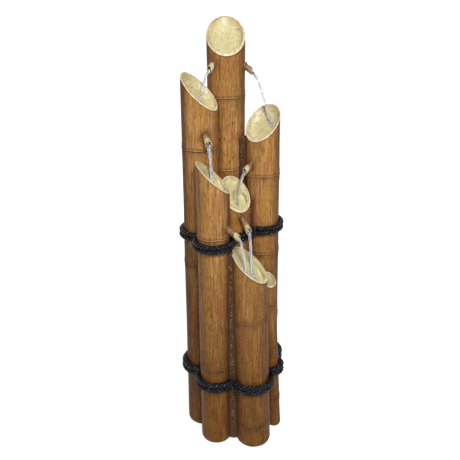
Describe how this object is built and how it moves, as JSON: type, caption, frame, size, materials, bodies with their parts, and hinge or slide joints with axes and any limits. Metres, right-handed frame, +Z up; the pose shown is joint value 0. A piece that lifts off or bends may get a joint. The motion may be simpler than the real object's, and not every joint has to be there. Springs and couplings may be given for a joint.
{
  "type": "bamboo water spout",
  "caption": "Upright bundle of slant-cut bamboo culms tied with black rope, with cream bowls and branch spouts that pass water down from culm to culm.",
  "frame": {"origin": "centre of the footprint, on the ground under the culms", "axes": "+Z up along the culms, front with the lowest bowls towards -Y, +X to the right seen from the front"},
  "size_m": [0.2118, 0.2134, 0.8388],
  "materials": {
    "bamboo": "stained and lacquered, satin",
    "bowl": "cream moulded resin, satin",
    "stub": "stained, satin",
    "rope": "black plaited cord",
    "filler": "dark rough mortar",
    "pump_plastic": "black moulded",
    "clear_plastic": "clear flexible hose",
    "rubber": "matt black",
    "magnet": "sintered ferrite",
    "ceramic": "ground white",
    "water": "clear falling water, seen while the pump runs",
    "steel": "stainless"
  },
  "bodies": {
    "fountain": {"tall_culm": "bamboo", "tall_culm_foot": "bamboo", "tall_bowl": "bowl", "left_culm": "bamboo", "left_bowl": "bowl", "right_culm": "bamboo", "right_bowl": "bowl", "front_left_culm": "bamboo", "front_left_bowl": "bowl", "centre_culm": "bamboo", "centre_bowl": "bowl", "front_right_culm": "bamboo", "front_right_bowl": "bowl", "thin_culm": "bamboo", "thin_bowl": "bowl", "tall_left_spout": "stub", "tall_right_spout": "stub", "left_spout": "stub", "right_spout": "stub", "front_left_spout": "stub", "centre_spout": "stub", "high_rope": "rope", "low_rope": "rope", "front_filler": "filler", "right_filler": "filler", "rear_filler": "filler", "left_filler": "filler", "pump_housing": "pump_plastic", "pump_foot_1": "rubber", "pump_foot_2": "rubber", "pump_foot_3": "rubber", "pump_foot_4": "rubber", "pump_volute_lid": "pump_plastic", "pump_shaft": "ceramic", "pump_strainer": "pump_plastic", "riser_hose": "clear_plastic", "hose_clip": "steel", "header_plate": "pump_plastic", "header_grommet": "rubber", "return_pipe": "clear_plastic", "cover_gasket": "rubber", "cord_gland": "rubber"},
    "cover": {"access_cover": "bamboo"},
    "screw_1": {"cover_screw_1": "steel"},
    "screw_2": {"cover_screw_2": "steel"},
    "rotor": {"pump_rotor": "magnet"},
    "dial": {"pump_flow_dial": "pump_plastic"}
  },
  "joints": [
    {"name": "cover_lift_off", "type": "slide", "parent": "fountain", "child": "cover", "axis": [0, 1, 0], "range_m": [0, 0.06]},
    {"name": "cover_screw_1_turn", "type": "hinge", "parent": "cover", "child": "screw_1", "pos_m": [-0.01003, 0.10056, 0.0185], "axis": [0, 1, 0], "continuous": true},
    {"name": "cover_screw_2_turn", "type": "hinge", "parent": "cover", "child": "screw_2", "pos_m": [-0.01003, 0.10056, 0.0915], "axis": [0, 1, 0], "continuous": true},
    {"name": "rotor_spin", "type": "hinge", "parent": "fountain", "child": "rotor", "pos_m": [-0.01003, 0.06056, 0.0281], "axis": [0, 1, 0], "continuous": true},
    {"name": "flow_dial_turn", "type": "hinge", "parent": "fountain", "child": "dial", "pos_m": [-0.01003, 0.06056, 0.0281], "axis": [0, 1, 0], "range_deg": [0, 90]}
  ]
}
